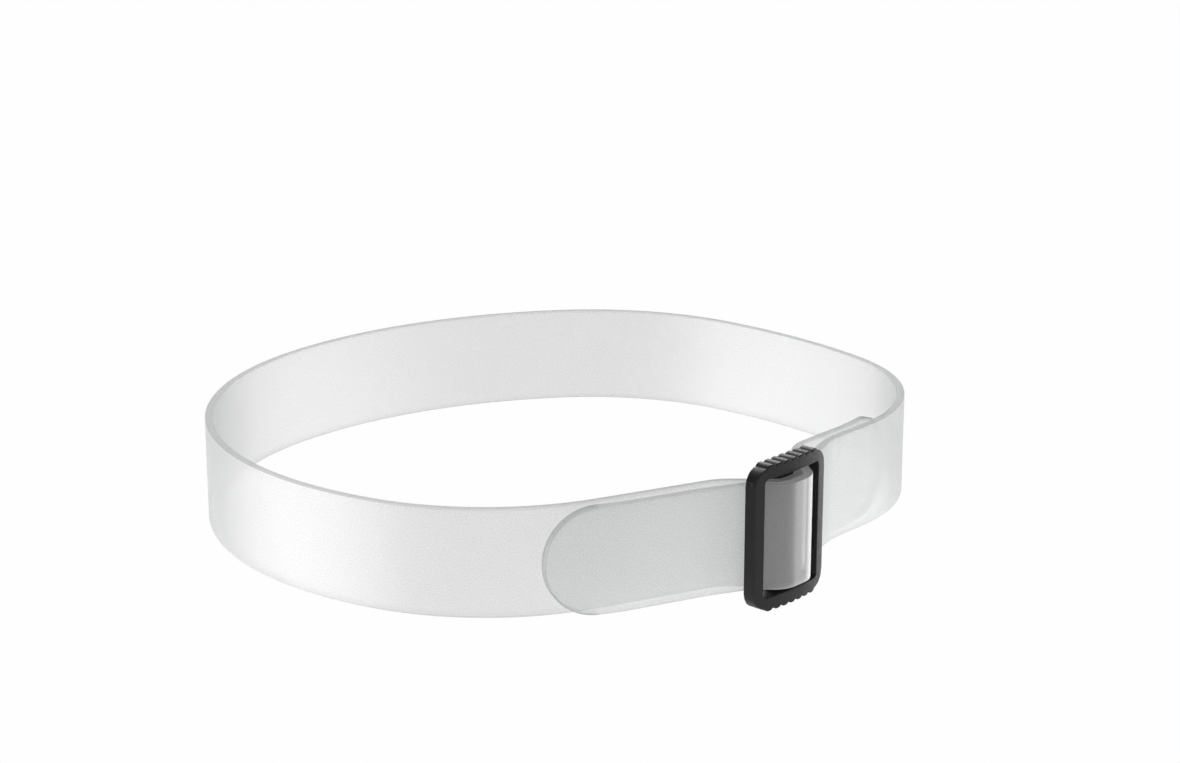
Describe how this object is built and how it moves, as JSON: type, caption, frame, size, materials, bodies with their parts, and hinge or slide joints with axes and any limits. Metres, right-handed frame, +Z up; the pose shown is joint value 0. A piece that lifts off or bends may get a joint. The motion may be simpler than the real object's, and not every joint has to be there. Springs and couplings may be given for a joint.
{
  "type": "adjustable wrist strap",
  "caption": "Adjustable wrist strap: a translucent strip in a loop, its two round ends threaded through a black three-bar slider.",
  "frame": {"origin": "under the middle of the whole object, at the slider's lowest point", "axes": "+Z up across the strip's width; -Y towards the slider's front side; the slider sits at +X, -Y"},
  "size_m": [0.0824, 0.0836, 0.0166],
  "materials": {
    "slider_black": "moulded nylon, matte black",
    "strap_frosted": "translucent frosted strip, faint green-grey",
    "strap_free_end": "translucent frosted strip, as the loop"
  },
  "bodies": {
    "strap": {"inner_run": "strap_frosted", "front_run_strap": "strap_frosted", "left_front_strap": "strap_frosted", "left_back_strap": "strap_frosted", "back_left_strap": "strap_frosted", "back_right_strap": "strap_frosted", "right_side_strap": "strap_frosted", "outer_run": "strap_frosted", "outer_end_root": "strap_free_end", "inner_end_root": "strap_free_end"},
    "slider": {"slider": "slider_black", "outer_pass": "strap_frosted", "inner_pass": "strap_frosted"},
    "outer_end": {"outer_end": "strap_free_end"},
    "inner_end": {"inner_end": "strap_free_end"}
  },
  "joints": [
    {"name": "slider_travel", "type": "hinge", "parent": "strap", "child": "slider", "pos_m": [0.00056, -0.00622, 0.0083], "axis": [0, 0, 1], "range_deg": [-13, 11], "deforming": ["inner_run", "outer_run", "outer_end_root", "inner_end_root"]},
    {"name": "outer_end_flex", "type": "hinge", "parent": "strap", "child": "outer_end", "pos_m": [0.0072, -0.03837, 0.0083], "axis": [0, 0, 1], "range_deg": [0, 30], "stiffness_Nm_per_rad": 0.0005},
    {"name": "inner_end_flex", "type": "hinge", "parent": "strap", "child": "inner_end", "pos_m": [0.03299, -0.01082, 0.0083], "axis": [0, 0, 1], "range_deg": [0, 25], "stiffness_Nm_per_rad": 0.0005}
  ]
}
